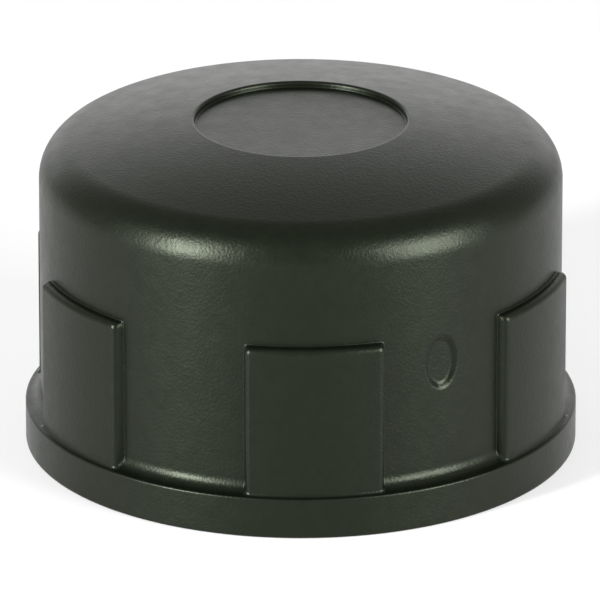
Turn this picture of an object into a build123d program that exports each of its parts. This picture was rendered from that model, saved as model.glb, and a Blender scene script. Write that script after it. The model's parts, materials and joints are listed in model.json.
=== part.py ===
"""Threaded protection cap: one moulded part, closed by a domed crown, with six grip pads.

The frame stands on the mouth: origin at the centre of the open rim, +Z towards the crown.
All lengths are in millimetres.
"""
from build123d import *
from math import atan2, cos, degrees, sin, sqrt
import os

# Internal thread, right-hand, with a coarse trapezoidal ridge
THREAD_D = 60.5          # across the wall that the ridge stands on
THREAD_PITCH = 6.0
THREAD_TURNS = 2.6
THREAD_START = 4.4       # height of the ridge's middle at its first end
RIDGE_H = 2.25           # how far the ridge stands in from the wall
RIDGE_ROOT_W = 3.6
RIDGE_CREST_W = 1.7
RIDGE_RUNOUT = 24.0      # degrees over which each end of the ridge fades into the wall
THREAD_RELIEF = 1.8      # plain wall past the ridge, before the bore narrows at 45 degrees
MOUTH_CHAMFER = 0.8

# Skirt and flange
WALL = 2.8               # wall outside the thread
COVE_R = 1.6             # hollow that runs the wall out onto the flange
FLANGE_LAND = 0.35       # flat ledge between the hollow and the flange's edge
FLANGE_H = 5.3           # mouth rim to the flange's ledge
FLANGE_EASE = 0.35       # small bevel on the edge that the cap rests on

# Crown
CROWN_APEX = 43.5        # height that the dome would reach without its recess
CROWN_R = 124.0          # spherical radius of the dome
SHOULDER_R = 5.2         # rounding from the dome to the wall
RECESS_D = 27.0          # round, flat-floored recess in the middle of the dome
RECESS_DEPTH = 1.0       # below its own rim
TOP_WALL = 2.8           # thickness of the dome and of the recess floor

# Grip pads
PAD_COUNT = 6
PAD_STEP = 1.3           # how far the pads stand out of the wall
PAD_W = 17.3             # width between a pad's parallel flanks
PAD_TOP = 25.0           # height of a pad's upper ledge
PAD_EDGE_R = 0.45        # rounding of a pad's upright outer edges
PAD_ROOT_R = 0.5         # rounding where a flank meets the wall
PAD_EASE = 0.4           # bevel round a pad's upper ledge

# Worked out from the sizes above
root_r = THREAD_D / 2
crest_r = root_r - RIDGE_H
thread_h = THREAD_TURNS * THREAD_PITCH
body_r = root_r + WALL
pad_r = body_r + PAD_STEP
flange_r = body_r + COVE_R + FLANGE_LAND
recess_r = RECESS_D / 2
crown_centre = CROWN_APEX - CROWN_R


def dome_height(radius, at):
    """Height of a sphere about the crown's centre, at a distance from the axis."""
    return crown_centre + sqrt(radius**2 - at**2)


def cap_section():
    """Half section of the cap in X (radius) and Y (height), before pads and thread."""
    shoulder_x = body_r - SHOULDER_R
    shoulder_z = dome_height(CROWN_R - SHOULDER_R, shoulder_x)
    meet = atan2(shoulder_z - crown_centre, shoulder_x)
    recess_rim = dome_height(CROWN_R, recess_r)
    recess_floor = recess_rim - RECESS_DEPTH
    ceiling = recess_floor - TOP_WALL
    inner_r = CROWN_R - TOP_WALL
    ceiling_r = sqrt(inner_r**2 - (ceiling - crown_centre) ** 2)
    thread_top = THREAD_START + thread_h + RIDGE_ROOT_W / 2 + THREAD_RELIEF

    dome_end = (CROWN_R * cos(meet), crown_centre + CROWN_R * sin(meet))
    wall_top = (body_r, shoulder_z)
    wall_foot = (body_r, FLANGE_H + COVE_R)
    cove_end = (body_r + COVE_R, FLANGE_H)
    with BuildSketch() as section:
        with BuildLine():
            Polyline((0, ceiling), (0, recess_floor), (recess_r, recess_floor), (recess_r, recess_rim))
            RadiusArc((recess_r, recess_rim), dome_end, CROWN_R)
            RadiusArc(dome_end, wall_top, SHOULDER_R)
            Line(wall_top, wall_foot)
            RadiusArc(wall_foot, cove_end, -COVE_R)
            Polyline(
                cove_end,
                (flange_r, FLANGE_H),
                (flange_r, FLANGE_EASE),
                (flange_r - FLANGE_EASE, 0),
                (root_r + MOUTH_CHAMFER, 0),
                (root_r, MOUTH_CHAMFER),
                (root_r, thread_top),
                (crest_r, thread_top + RIDGE_H),
                (crest_r, dome_height(inner_r, crest_r)),
                (ceiling_r, ceiling),
                (0, ceiling),
            )
        make_face()
    return section.sketch


def shell():
    """The cap as if turned: crown, wall, flange and the bore inside."""
    return revolve(Plane.XZ * cap_section(), Axis.Z)


def reach(corner):
    """Distance of a point from the cap's axis."""
    return sqrt(corner.X**2 + corner.Y**2)


def pads():
    """All grip pads as one prism that grows out of the wall, bevelled round its ledge."""
    halfway = body_r + PAD_STEP / 2
    with BuildPart() as ring:
        with BuildSketch(Plane.XY.offset(FLANGE_H - COVE_R)):
            with PolarLocations(0, PAD_COUNT, start_angle=-90):
                Rectangle(pad_r, PAD_W, align=(Align.MIN, Align.CENTER))
            Circle(pad_r, mode=Mode.INTERSECT)
            Circle(body_r)
            fillet(vertices().filter_by(lambda corner: reach(corner) > halfway), PAD_EDGE_R)
            fillet(vertices().filter_by(lambda corner: reach(corner) < halfway), PAD_ROOT_R)
            Circle(body_r - WALL / 2, mode=Mode.SUBTRACT)
        extrude(amount=PAD_TOP - FLANGE_H + COVE_R)
        ledge = faces().sort_by(Axis.Z)[-1].outer_wire()
        chamfer(ledge.edges(), PAD_EASE)
    return ring.part


def thread_ridge():
    """Helical ridge on the bore, with its crest on a true cylinder and its ends sliced thin."""
    sunk = RIDGE_H / 8
    slope = (RIDGE_ROOT_W - RIDGE_CREST_W) / 2 / RIDGE_H
    half_root = RIDGE_ROOT_W / 2 + slope * sunk
    half_crest = RIDGE_CREST_W / 2 - slope * sunk
    with BuildPart() as ridge:
        with BuildLine() as path:
            Helix(THREAD_PITCH, thread_h, root_r, center=(0, 0, THREAD_START))
        with BuildSketch(Plane.XZ.shift_origin((0, 0, THREAD_START))):
            with BuildLine():
                Polyline(
                    (root_r + sunk, -half_root),
                    (root_r + sunk, half_root),
                    (crest_r - sunk, half_crest),
                    (crest_r - sunk, -half_crest),
                    close=True,
                )
            make_face()
        sweep(path=path.line, is_frenet=True)
        Cylinder(crest_r, 2 * (THREAD_START + thread_h + THREAD_PITCH), mode=Mode.SUBTRACT)
    last = 360 * THREAD_TURNS
    return ridge.part - runout(0, THREAD_START, 1) - runout(last, THREAD_START + thread_h, -1)


def runout(angle, height, way):
    """Block that slices one end of the ridge off on a slant, over RIDGE_RUNOUT degrees."""
    foot = Vector(root_r, 0).rotate(Axis.Z, angle)
    top = Vector(crest_r, 0).rotate(Axis.Z, angle + way * RIDGE_RUNOUT)
    slant = degrees(atan2(top.Y - foot.Y, top.X - foot.X))
    length = (top - foot).length
    inward = Align.MIN if way > 0 else Align.MAX
    block = Box(length, length, THREAD_PITCH, align=(Align.MIN, inward, Align.CENTER))
    return Pos(foot.X, foot.Y, height) * Rot(0, 0, slant) * block


os.makedirs("parts", exist_ok=True)
cap = shell() + pads() + thread_ridge()
cap.label = "threaded_cap"
export_step(cap, "parts/threaded_cap.step")
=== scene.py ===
"""Threaded protection cap, dressed for the studio: one black moulded cap on a white table."""

import json
import math

import bmesh
import bpy
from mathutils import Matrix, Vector


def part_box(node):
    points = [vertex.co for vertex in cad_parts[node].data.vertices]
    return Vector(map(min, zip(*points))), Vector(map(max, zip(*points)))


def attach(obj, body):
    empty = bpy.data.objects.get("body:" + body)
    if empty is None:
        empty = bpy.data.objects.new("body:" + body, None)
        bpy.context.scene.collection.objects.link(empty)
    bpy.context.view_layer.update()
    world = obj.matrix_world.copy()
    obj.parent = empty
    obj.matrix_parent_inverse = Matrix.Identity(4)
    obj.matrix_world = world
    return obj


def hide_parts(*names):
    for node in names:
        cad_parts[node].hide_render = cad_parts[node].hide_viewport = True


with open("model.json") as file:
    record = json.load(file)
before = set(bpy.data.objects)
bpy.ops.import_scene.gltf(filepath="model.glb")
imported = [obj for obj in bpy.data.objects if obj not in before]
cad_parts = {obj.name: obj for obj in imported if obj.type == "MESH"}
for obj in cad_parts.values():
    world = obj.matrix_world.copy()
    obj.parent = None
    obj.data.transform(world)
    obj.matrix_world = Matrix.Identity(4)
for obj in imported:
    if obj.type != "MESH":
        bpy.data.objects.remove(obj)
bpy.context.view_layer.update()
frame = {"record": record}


# --- The cap --------------------------------------------------------------------------------------
# One injection moulding in black polypropylene: a domed crown with a round recess, and six grip pads.
# A coarse thread climbs the wall inside, and a small blank oval is sunk in the wall outside.
# The drawing below is in millimetres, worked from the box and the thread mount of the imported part.

MM = 0.001

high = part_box("threaded_cap")[1]
thread_mount = next(m for m in frame["record"]["mounts"] if m["name"] == "thread")

FLANGE_R = high.x / MM
RIM_Z = high.z / MM
CREST_R = thread_mount["dims"]["r_mm"]

CROWN_R = 124.0
RECESS_R = 13.4
RECESS_DEPTH = 0.8
RECESS_EDGE_R = 0.35
RECESS_DRAFT = 0.06
RECESS_ROOT_R = 0.12
SHOULDER_R = 5.2
WALL_R = 33.05
FLANGE_H = 5.3
FLANGE_EASE = 0.24
FLANGE_FOOT_R = 0.35
MOUTH_CHAMFER = 0.8
COVE_R = 1.6
TOP_WALL = 2.8
CEILING_R = 20.45
BORE_TOP = 37.42

PAD_COUNT = 6
PAD_STEP = 1.3
PAD_HALF_W = 8.65
PAD_TOP = 24.9
PAD_EDGE_R = 0.75
PAD_ROOT_R = 0.12
PAD_FOOT_R = 0.4

RIDGE_H = 2.25
RIDGE_ROOT_HALF = 1.8
RIDGE_CREST_HALF = 0.85
RIDGE_EDGE_R = 0.35
THREAD_PITCH = 6.0
THREAD_TURNS = 2.6
THREAD_START = 4.4
RUNOUT_DEG = 24.0
RELIEF_TOP = 23.6
RELIEF_LAND = 0.2

MARK_DEG = -61.0
MARK_Z = 20.9
MARK_HALF_W = 2.3
MARK_HALF_H = 3.6
MARK_DEPTH = 0.45
MARK_RIM = 1.06
MARK_FLOOR = 0.72


def arc(centre, radius, start_deg, end_deg, steps):
    """Points round an arc of the section, both ends included."""
    points = []
    for step in range(steps + 1):
        turn = math.radians(start_deg + (end_deg - start_deg) * step / steps)
        points.append((centre[0] + radius * math.cos(turn), centre[1] + radius * math.sin(turn)))
    return points


def run(start, end, steps):
    """Points along a straight run of the section, without its two ends."""
    shares = [step / steps for step in range(1, steps)]
    return [(start[0] + (end[0] - start[0]) * s, start[1] + (end[1] - start[1]) * s) for s in shares]


def rounded(corners, steps=4, hold=0.07):
    """A line through corners (x, y, radius), each one rounded and held by a point just off each end."""
    points = [corners[0][:2]]
    for before, corner, after in zip(corners, corners[1:], corners[2:]):
        here = Vector(corner[:2])
        back = (Vector(before[:2]) - here).normalized()
        ahead = (Vector(after[:2]) - here).normalized()
        half = back.angle(ahead) / 2
        reach = corner[2] / math.tan(half)
        centre = here + (back + ahead).normalized() * corner[2] / math.sin(half)
        points.append(tuple(here + back * (reach + hold)))
        arm_in = (here + back * reach - centre).normalized()
        arm_out = (here + ahead * reach - centre).normalized()
        for step in range(steps + 1):
            points.append(tuple(centre + arm_in.slerp(arm_out, step / steps) * corner[2]))
        points.append(tuple(here + ahead * (reach + hold)))
    points.append(corners[-1][:2])
    return points


def crown_z(radius):
    """Height of the crown's sphere at a radius."""
    return crown_centre_z + math.sqrt(CROWN_R ** 2 - radius ** 2)


crown_centre_z = RIM_Z - math.sqrt(CROWN_R ** 2 - RECESS_R ** 2)
recess_z = RIM_Z - RECESS_DEPTH
shoulder_r = WALL_R - SHOULDER_R
shoulder_z = crown_centre_z + math.sqrt((CROWN_R - SHOULDER_R) ** 2 - shoulder_r ** 2)
shoulder_deg = math.degrees(math.atan2(shoulder_z - crown_centre_z, shoulder_r))
rim_deg = math.degrees(math.acos((RECESS_R + RECESS_EDGE_R) / CROWN_R))
dome_from = RECESS_R + 2 * RECESS_EDGE_R + 0.1

# The crown: recess floor, its small rim, the dome and the shoulder, the same all round.
recess = rounded([(0.0, recess_z, 0), (RECESS_R - RECESS_DRAFT, recess_z, RECESS_ROOT_R),
                  (RECESS_R, RIM_Z, RECESS_EDGE_R), (dome_from, crown_z(dome_from), 0)])
crown = recess[:1] + run(recess[0], recess[1], 5) + recess[1:-1]
crown += arc((0.0, crown_centre_z), CROWN_R, rim_deg - 0.15, shoulder_deg + 0.05, 12)
crown += arc((shoulder_r, shoulder_z), SHOULDER_R, shoulder_deg, 0.0, 16)

# The side, drawn twice: down the plain wall, and down over a grip pad.
pad_r = WALL_R + PAD_STEP
foot_z = FLANGE_H + COVE_R
ledge_high = PAD_TOP + 0.35
ledge_low = PAD_TOP - PAD_EDGE_R - 0.2
ledge_pad = rounded([(WALL_R, ledge_high, 0), (WALL_R, PAD_TOP, PAD_ROOT_R),
                     (pad_r, PAD_TOP, PAD_EDGE_R), (pad_r, ledge_low, 0)], hold=0.05)
ledge_wall = [(WALL_R, ledge_high)] + run((WALL_R, ledge_high), (WALL_R, ledge_low), len(ledge_pad) - 1)
ledge_wall += [(WALL_R, ledge_low)]
upper = run((WALL_R, shoulder_z), (WALL_R, ledge_high), 5)
mark_low = MARK_Z - MARK_HALF_H - 1.0
side_wall = upper + ledge_wall
side_pad = upper + ledge_pad
for radius, side in ((WALL_R, side_wall), (pad_r, side_pad)):
    side += run((radius, ledge_low), (radius, mark_low), 46)
    side += run((radius, mark_low), (radius, foot_z + 0.1), 5)
side_wall += [(WALL_R, foot_z + 0.1)] + arc((WALL_R + COVE_R, foot_z), COVE_R, 180.0, 270.0, 9)
side_pad += [(pad_r, FLANGE_H + PAD_FOOT_R + 0.1)]
side_pad += arc((pad_r + PAD_FOOT_R, FLANGE_H + PAD_FOOT_R), PAD_FOOT_R, 180.0, 270.0, 9)

# The flange, its foot and the mouth of the bore.
root_r = CREST_R + RIDGE_H
flange = arc((FLANGE_R - FLANGE_EASE, FLANGE_H - FLANGE_EASE), FLANGE_EASE, 90.0, 0.0, 5)
flange += rounded([(FLANGE_R, FLANGE_H - 0.4, 0), (FLANGE_R, 0.0, FLANGE_FOOT_R),
                   (root_r + MOUTH_CHAMFER, 0.0, 0.15), (root_r, MOUTH_CHAMFER, 0.15),
                   (root_r, THREAD_START - THREAD_PITCH / 2, 0)])

# Above the thread: a cone in to the plain bore, and the ceiling under the crown.
ceiling_z = recess_z - TOP_WALL
ceiling = rounded([(root_r, RELIEF_TOP, 0), (root_r, RELIEF_TOP + RELIEF_LAND, 0.12),
                   (CREST_R, RELIEF_TOP + RELIEF_LAND + RIDGE_H, 0.3), (CREST_R, BORE_TOP, 0.5),
                   (CEILING_R, ceiling_z, 1.5), (0.0, ceiling_z, 0)])
ceiling = ceiling[1:-1] + run(ceiling[-2], ceiling[-1], 5) + ceiling[-1:]

# One pitch of the thread ridge, as height over the bore's wall along the axis.
ridge = rounded([(-THREAD_PITCH / 2, 0.0, 0), (-RIDGE_ROOT_HALF, 0.0, RIDGE_EDGE_R),
                 (-RIDGE_CREST_HALF, RIDGE_H, RIDGE_EDGE_R), (RIDGE_CREST_HALF, RIDGE_H, RIDGE_EDGE_R),
                 (RIDGE_ROOT_HALF, 0.0, RIDGE_EDGE_R), (THREAD_PITCH / 2, 0.0, 0)], steps=3)[:-1]
pitches = range(-1, math.ceil((RELIEF_TOP - THREAD_START - THREAD_PITCH / 2) / THREAD_PITCH) + 1)
thread_rows = [(pitch, along + pitch * THREAD_PITCH, height) for pitch in pitches for along, height in ridge]

# The section as a line of points: where each lies on the wall and on a pad, and what the thread does.
wall_rows = crown + side_wall + flange + [(root_r, RELIEF_TOP)] * len(thread_rows) + ceiling
pad_rows = crown + side_pad + flange + [(root_r, RELIEF_TOP)] * len(thread_rows) + ceiling
first_thread = len(crown + side_wall + flange)
section_mesh = bpy.data.meshes.new("cap_section")
section_mesh.from_pydata([(r * MM, 0.0, z * MM) for r, z in wall_rows], [], [])


def carry(name, values, kind="FLOAT", property_name="value"):
    """Gives the section's points a named value each."""
    attribute = section_mesh.attributes.new(name, kind, "POINT")
    attribute.data.foreach_set(property_name, values)


above, below = first_thread, len(ceiling)
carry("on_pad", [x * MM for r, z in pad_rows for x in (r, 0.0, z)], "FLOAT_VECTOR", "vector")
carry("on_side", [float(len(crown) <= row < len(crown + side_wall)) for row in range(len(wall_rows))])
carry("in_thread", [0.0] * above + [1.0] * len(thread_rows) + [0.0] * below)
carry("turn", [0.0] * above + [float(pitch) for pitch, along, height in thread_rows] + [0.0] * below)
carry("along_axis", [0.0] * above + [along * MM for pitch, along, height in thread_rows] + [0.0] * below)
carry("ridge_height", [0.0] * above + [height * MM for pitch, along, height in thread_rows] + [0.0] * below)

# The plan as a line of points: the angle of each column, and how far it has risen onto a pad.
half_pitch = math.pi / PAD_COUNT
edge = Vector((PAD_HALF_W - PAD_EDGE_R, 0.0))
edge.y = math.sqrt((pad_r - PAD_EDGE_R) ** 2 - edge.x ** 2)
root = Vector((PAD_HALF_W + PAD_ROOT_R, 0.0))
root.y = math.sqrt((WALL_R + PAD_ROOT_R) ** 2 - root.x ** 2)
edge_deg = math.degrees(math.atan2(edge.y, edge.x))
root_deg = math.degrees(math.atan2(root.y, root.x))
flank = arc(edge, PAD_EDGE_R, edge_deg, 0.0, 4) + arc(root, PAD_ROOT_R, 180.0, 180.0 + root_deg, 4)
half_plan = [(math.atan2(x, y), (math.hypot(x, y) - WALL_R) / PAD_STEP) for x, y in flank]
pad_turns = [half_plan[0][0] * share for share in (0.0, 0.2, 0.4, 0.6, 0.8, 0.94, 0.993)]
gap_from = half_plan[-1][0]
gap_turns = [gap_from + (half_pitch - gap_from) * share for share in (0.008, 0.07, 0.22, 0.4, 0.6, 0.8)]
half_plan = [(turned, 1.0) for turned in pad_turns] + half_plan + [(turned, 0.0) for turned in gap_turns]

columns = []
for pad in range(PAD_COUNT):
    centre = -math.pi / 2 + 2 * half_pitch * pad
    columns += [(centre - turned, share) for turned, share in half_plan[1:]]
    columns += [(centre + turned, share) for turned, share in half_plan]
    columns += [(centre + half_pitch, 0.0)]
mark_turn = math.radians(MARK_DEG)
mark_reach = (MARK_HALF_W + 0.7) / WALL_R
columns = [c for c in columns if abs(c[0] - mark_turn) > mark_reach]
columns += [(mark_turn + mark_reach * step / 16, 0.0) for step in range(-16, 17)]
columns = sorted((turned % (2 * math.pi), share) for turned, share in columns)
columns = [(0.0, 0.0)] + [c for c in columns if 1e-6 < c[0] < 2 * math.pi - 1e-6] + [(2 * math.pi, 0.0)]
plan_mesh = bpy.data.meshes.new("cap_plan")
plan_mesh.from_pydata([(turned, share, 0.0) for turned, share in columns], [], [])
plan = bpy.data.objects.new("cap_plan", plan_mesh)
bpy.context.scene.collection.objects.link(plan)

cap_tree = bpy.data.node_groups.new("turn_the_cap", "GeometryNodeTree")
sizes_in = (
    ("Thread Start", THREAD_START * MM), ("Thread Pitch", THREAD_PITCH * MM), ("Thread Turns", THREAD_TURNS),
    ("Thread Root Radius", root_r * MM), ("Run-out Turns", RUNOUT_DEG / 360),
    ("Relief Bottom", (THREAD_START - THREAD_PITCH / 2) * MM), ("Relief Top", RELIEF_TOP * MM),
    ("Mark Angle", mark_turn % (2 * math.pi)), ("Mark Height", MARK_Z * MM),
    ("Mark Half Width", MARK_HALF_W * MM), ("Mark Half Length", MARK_HALF_H * MM),
    ("Mark Depth", MARK_DEPTH * MM), ("Wall Radius", WALL_R * MM),
)
cap_tree.interface.new_socket("Section", in_out="INPUT", socket_type="NodeSocketGeometry")
cap_tree.interface.new_socket("Plan", in_out="INPUT", socket_type="NodeSocketObject")
cap_tree.interface.new_socket("Material", in_out="INPUT", socket_type="NodeSocketMaterial")
for name, value in sizes_in:
    cap_tree.interface.new_socket(name, in_out="INPUT", socket_type="NodeSocketFloat").default_value = value
cap_tree.interface.new_socket("Cap", in_out="OUTPUT", socket_type="NodeSocketGeometry")
size = cap_tree.nodes.new("NodeGroupInput").outputs


def step(kind, settings=None, **values):
    """A node of the cap's tree, with its settings and what its inputs are given, by their names."""
    node = cap_tree.nodes.new(kind)
    for name, value in (settings or {}).items():
        setattr(node, name, value)
    for name, value in values.items():
        join(value, node.inputs[name.replace("_", " ")])
    return node


def join(value, socket):
    """Gives an input a number or another node's output."""
    if isinstance(value, bpy.types.NodeSocket):
        cap_tree.links.new(value, socket)
    else:
        socket.default_value = value


def work_out(operation, *values):
    """One sum of the cap's tree."""
    node = cap_tree.nodes.new("ShaderNodeMath")
    node.operation = operation
    for value, socket in zip(values, node.inputs):
        join(value, socket)
    return node.outputs[0]


def read_row(field, kind="FLOAT"):
    """What the section holds at this row."""
    node = step("GeometryNodeSampleIndex", {"data_type": kind}, Geometry=size["Section"], Index=row_index)
    join(field, node.inputs["Value"])
    return node.outputs["Value"]


def named(name, kind="FLOAT"):
    """A value that the section's points carry."""
    return step("GeometryNodeInputNamedAttribute", {"data_type": kind}, Name=name).outputs["Attribute"]


plan_in = step("GeometryNodeObjectInfo", Object=size["Plan"]).outputs["Geometry"]
row_count = step("GeometryNodeAttributeDomainSize", Geometry=size["Section"]).outputs["Point Count"]
column_count = step("GeometryNodeAttributeDomainSize", Geometry=plan_in).outputs["Point Count"]
net = step("GeometryNodeMeshGrid", Vertices_X=row_count, Vertices_Y=column_count).outputs["Mesh"]
index = step("GeometryNodeInputIndex").outputs[0]
position = step("GeometryNodeInputPosition").outputs[0]
row_index = work_out("FLOOR", work_out("DIVIDE", work_out("ADD", index, 0.5), column_count))
column_index = work_out("SUBTRACT", index, work_out("MULTIPLY", row_index, column_count))

column = step("GeometryNodeSampleIndex", {"data_type": "FLOAT_VECTOR"}, Geometry=plan_in, Index=column_index)
join(position, column.inputs["Value"])
column = step("ShaderNodeSeparateXYZ", Vector=column.outputs["Value"]).outputs
angle = column["X"]

# Wall or pad: each row goes from its place on the wall to its place on the pad.
point = step("ShaderNodeMix", {"data_type": "VECTOR"})
join(column["Y"], point.inputs["Factor"])
join(read_row(position, "FLOAT_VECTOR"), point.inputs[4])
join(read_row(named("on_pad", "FLOAT_VECTOR"), "FLOAT_VECTOR"), point.inputs[5])
point = step("ShaderNodeSeparateXYZ", Vector=point.outputs[1]).outputs

# The mark: a shallow oval sunk in the wall, measured round the wall and up it.
mark_x = work_out("MULTIPLY", work_out("SUBTRACT", angle, size["Mark Angle"]), size["Wall Radius"])
mark_x = work_out("DIVIDE", mark_x, size["Mark Half Width"])
mark_y = work_out("DIVIDE", work_out("SUBTRACT", point["Z"], size["Mark Height"]), size["Mark Half Length"])
out_from_mark = work_out("SQRT", work_out("ADD", work_out("MULTIPLY", mark_x, mark_x),
                                          work_out("MULTIPLY", mark_y, mark_y)))
sunk = step("ShaderNodeMapRange", {"interpolation_type": "SMOOTHERSTEP"}, Value=out_from_mark)
for name, value in (("From Min", MARK_RIM), ("From Max", MARK_FLOOR), ("To Min", 0.0), ("To Max", 1.0)):
    join(value, sunk.inputs[name])
mark_depth = work_out("MULTIPLY", size["Mark Depth"], read_row(named("on_side")))
sunk = work_out("MULTIPLY", sunk.outputs[0], mark_depth)
outer_r = work_out("SUBTRACT", point["X"], sunk)

# The thread: its rows climb by one pitch a turn, so they run along the ridge, and stop at the relief's ends.
turns_round = work_out("DIVIDE", angle, 2 * math.pi)
thread_z = work_out("ADD", read_row(named("along_axis")), size["Thread Start"])
thread_z = work_out("MULTIPLY_ADD", turns_round, size["Thread Pitch"], thread_z)
thread_z = work_out("MINIMUM", work_out("MAXIMUM", thread_z, size["Relief Bottom"]), size["Relief Top"])
turns_done = work_out("ADD", turns_round, read_row(named("turn")))
turns_left = work_out("SUBTRACT", size["Thread Turns"], turns_done)
full = work_out("DIVIDE", work_out("MINIMUM", turns_done, turns_left), size["Run-out Turns"])
full = work_out("MINIMUM", work_out("MAXIMUM", full, 0.0), 1.0)
stands_in = work_out("MULTIPLY", full, read_row(named("ridge_height")))
thread_r = work_out("SUBTRACT", size["Thread Root Radius"], stands_in)

threaded = read_row(named("in_thread"))
radius = work_out("MULTIPLY_ADD", work_out("SUBTRACT", thread_r, outer_r), threaded, outer_r)
height = work_out("MULTIPLY_ADD", work_out("SUBTRACT", thread_z, point["Z"]), threaded, point["Z"])
place = step("ShaderNodeCombineXYZ", X=work_out("MULTIPLY", radius, work_out("COSINE", angle)),
             Y=work_out("MULTIPLY", radius, work_out("SINE", angle)), Z=height).outputs[0]
turned = step("GeometryNodeSetPosition", Geometry=net, Position=place).outputs[0]
closed = step("GeometryNodeMergeByDistance", Geometry=turned, Distance=0.004 * MM).outputs[0]
smooth = step("GeometryNodeSetShadeSmooth", Geometry=closed).outputs[0]
whole = step("GeometryNodeRealizeInstances", Geometry=smooth).outputs[0]
painted = step("GeometryNodeSetMaterial", Geometry=whole, Material=size["Material"]).outputs[0]
join(painted, cap_tree.nodes.new("NodeGroupOutput").inputs["Cap"])


def black_polypropylene():
    """Satin black polypropylene with a trace of olive, in the fine grain of a sparked mould."""
    material = bpy.data.materials.new("black_polypropylene")
    material.use_nodes = True
    nodes, links = material.node_tree.nodes, material.node_tree.links
    shader = nodes["Principled BSDF"]
    shader.inputs["IOR"].default_value = 1.5
    shader.inputs["Specular IOR Level"].default_value = 0.238
    shader.inputs["Specular Tint"].default_value = (0.89, 1.0, 0.77, 1.0)
    place = nodes.new("ShaderNodeTexCoord").outputs["Object"]

    def noise(scale, detail, roughness=0.5):
        """Noise at so many grains a metre."""
        node = nodes.new("ShaderNodeTexNoise")
        node.inputs["Scale"].default_value = scale
        node.inputs["Detail"].default_value = detail
        node.inputs["Roughness"].default_value = roughness
        links.new(place, node.inputs["Vector"])
        return node.outputs["Fac"]

    def spread(value, least, most):
        """Brings noise into a range."""
        node = nodes.new("ShaderNodeMapRange")
        node.inputs["From Min"].default_value = 0.3
        node.inputs["From Max"].default_value = 0.7
        node.inputs["To Min"].default_value = least
        node.inputs["To Max"].default_value = most
        links.new(value, node.inputs["Value"])
        return node.outputs["Result"]

    tint = nodes.new("ShaderNodeMix")
    tint.data_type = "RGBA"
    tint.inputs["A"].default_value = (0.0014, 0.0022, 0.0009, 1.0)
    tint.inputs["B"].default_value = (0.0025, 0.0037, 0.0016, 1.0)
    links.new(spread(noise(900.0, 5.0, 0.6), 0.0, 1.0), tint.inputs["Factor"])
    links.new(tint.outputs["Result"], shader.inputs["Base Color"])
    links.new(spread(noise(420.0, 6.0, 0.65), 0.31, 0.39), shader.inputs["Roughness"])

    grain = nodes.new("ShaderNodeBump")
    grain.inputs["Strength"].default_value = 0.60
    grain.inputs["Distance"].default_value = 0.06 * MM
    links.new(noise(2600.0, 3.0), grain.inputs["Height"])
    links.new(grain.outputs["Normal"], shader.inputs["Normal"])
    return material


section = bpy.data.objects.new("cap_section", section_mesh)
bpy.context.scene.collection.objects.link(section)
turning = section.modifiers.new("turn_the_cap", "NODES")
turning.node_group = cap_tree
sockets = {s.name: s.identifier for s in cap_tree.interface.items_tree if s.in_out == "INPUT"}
turning[sockets["Plan"]] = plan
turning[sockets["Material"]] = black_polypropylene()
for name, value in sizes_in:
    turning[sockets[name]] = value

depsgraph = bpy.context.evaluated_depsgraph_get()
cap_mesh = bpy.data.meshes.new_from_object(section.evaluated_get(depsgraph))
cap_mesh.name = "moulded_cap"
for drawing in (section, plan):
    bpy.data.objects.remove(drawing)
shell = bmesh.new()
shell.from_mesh(cap_mesh)
bmesh.ops.dissolve_degenerate(shell, dist=0.002 * MM, edges=shell.edges)
if shell.calc_volume(signed=True) < 0:
    bmesh.ops.reverse_faces(shell, faces=shell.faces)
shell.to_mesh(cap_mesh)
shell.free()
cap = bpy.data.objects.new("moulded_cap", cap_mesh)
bpy.context.scene.collection.objects.link(cap)
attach(cap, "root")
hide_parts("threaded_cap")


# --- The table ------------------------------------------------------------------------------------
# A matt white sheet under the cap, and behind it a bright low studio wall, which the crown mirrors.
# Nothing here is part of the cap.

TABLE_SPAN = 6.0
TABLE_Z = -0.05 * MM
WALL_GLOW = 1.35
ROOM_GLOW = 0.48
WALL_UP_FADE = (0.35, 0.62)
WALL_SIDE_FADE = (0.92, 0.68)

table_mesh = bpy.data.meshes.new("table")
half_span = TABLE_SPAN / 2
corners = [(-half_span, -half_span, TABLE_Z), (half_span, -half_span, TABLE_Z),
           (half_span, half_span, TABLE_Z), (-half_span, half_span, TABLE_Z)]
table_mesh.from_pydata(corners, [], [(0, 1, 2, 3)])
table = bpy.data.objects.new("table", table_mesh)
bpy.context.scene.collection.objects.link(table)
paper = bpy.data.materials.new("white_paper")
paper.use_nodes = True
paper_shader = paper.node_tree.nodes["Principled BSDF"]
paper_shader.inputs["Roughness"].default_value = 0.9
paper_shader.inputs["Base Color"].default_value = (0.41, 0.41, 0.41, 1.0)
paper_shader.inputs["Emission Color"].default_value = (1.0, 1.0, 1.0, 1.0)
paper_shader.inputs["Emission Strength"].default_value = 0.50
table_mesh.materials.append(paper)

studio = bpy.data.worlds.new("studio")
bpy.context.scene.world = studio
studio.use_nodes = True
sky_nodes, sky_links = studio.node_tree.nodes, studio.node_tree.links
way = sky_nodes.new("ShaderNodeTexCoord").outputs["Generated"]
split = sky_nodes.new("ShaderNodeSeparateXYZ")
sky_links.new(way, split.inputs[0])


def fade(value, full_at, gone_at):
    """Fades the studio's wall from full to nothing as a direction's height or side changes."""
    node = sky_nodes.new("ShaderNodeMapRange")
    node.interpolation_type = "SMOOTHSTEP"
    for name, number in (("From Min", full_at), ("From Max", gone_at), ("To Min", 1.0), ("To Max", 0.0)):
        node.inputs[name].default_value = number
    sky_links.new(value, node.inputs["Value"])
    return node.outputs["Result"]


def sky_sum(operation, first, second):
    """One sum of the studio's brightness."""
    node = sky_nodes.new("ShaderNodeMath")
    node.operation = operation
    for value, socket in zip((first, second), node.inputs):
        if isinstance(value, bpy.types.NodeSocket):
            sky_links.new(value, socket)
        else:
            socket.default_value = value
    return node.outputs[0]


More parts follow.
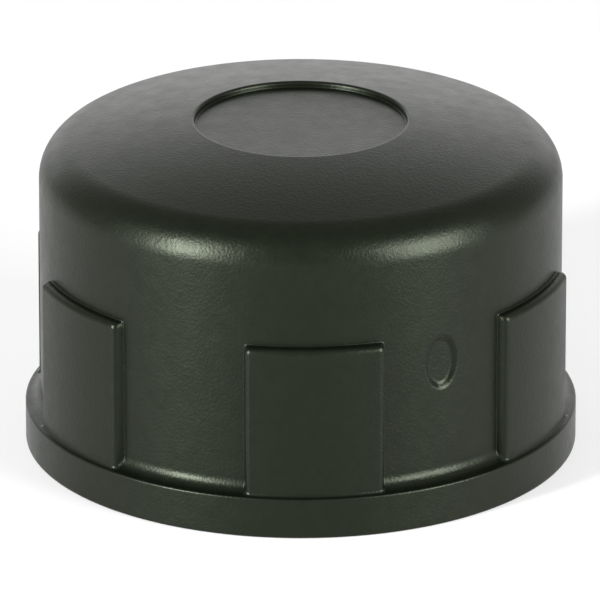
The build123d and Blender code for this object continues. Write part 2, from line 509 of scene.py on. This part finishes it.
up_fade = fade(split.outputs["Z"], *WALL_UP_FADE)
side_fade = fade(split.outputs["Y"], *WALL_SIDE_FADE)
wall_light = sky_sum("MULTIPLY", up_fade, side_fade)
brightness = sky_sum("ADD", sky_sum("MULTIPLY", wall_light, WALL_GLOW), ROOM_GLOW)
sky_links.new(brightness, sky_nodes["Background"].inputs["Strength"])
sky_nodes["Background"].inputs["Color"].default_value = (1.0, 1.0, 1.0, 1.0)


# --- Lights ---------------------------------------------------------------------------------------
# Two soft boxes stand in front of the cap, one each side, and light its shoulder.
# A low one under each of them lifts the wall and the flange.

CAMERA_DEG = -92.98
LAMP_AWAY = 0.7
middle = Vector((0.0, 0.0, 21.56 * MM))


def away(turn_deg, lift_deg, distance):
    """A place so far from the cap's middle, round from +X and up from level."""
    turn, lift = math.radians(turn_deg), math.radians(lift_deg)
    level = math.cos(lift)
    return middle + distance * Vector((level * math.cos(turn), level * math.sin(turn), math.sin(lift)))


def face(thing, spot):
    """Turns a light or the camera to look at a spot."""
    thing.rotation_euler = (spot - thing.location).to_track_quat("-Z", "Y").to_euler()


def soft_box(name, turn_deg, lift_deg, width, tall, watts):
    """One rectangular soft box."""
    lamp = bpy.data.lights.new(name, "AREA")
    lamp.shape = "RECTANGLE"
    lamp.size = width
    lamp.size_y = tall
    lamp.energy = watts
    box = bpy.data.objects.new(name, lamp)
    bpy.context.scene.collection.objects.link(box)
    box.location = away(turn_deg, lift_deg, LAMP_AWAY)
    face(box, middle)
    return box


soft_box("soft_box_left", CAMERA_DEG - 49.5, 12.0, 0.08, 0.45, 10.94)
soft_box("soft_box_right", CAMERA_DEG + 54.0, 21.2, 0.37, 0.11, 4.62)
soft_box("low_box_left", CAMERA_DEG - 51.8, 1.0, 0.3, 0.2, 1.24)
soft_box("low_box_right", CAMERA_DEG + 54.9, 1.0, 0.3, 0.2, 5.95)


# --- The camera -----------------------------------------------------------------------------------
# A long lens a good metre away, a little above the crown, so the cap is seen almost without perspective.

LENS_MM = 600.0
CAMERA_LIFT_DEG = 21.3
CAMERA_AWAY = 1.2665
AIM = Vector((-0.1, 0.0, 18.16)) * MM

camera = bpy.data.objects.new("camera", bpy.data.cameras.new("camera"))
camera.data.lens = LENS_MM
camera.data.sensor_width = 36.0
camera.data.clip_end = 50.0
camera.location = away(CAMERA_DEG, CAMERA_LIFT_DEG, CAMERA_AWAY)
face(camera, AIM)
bpy.context.scene.collection.objects.link(camera)
bpy.context.scene.camera = camera
bpy.context.scene.view_settings.view_transform = "Standard"
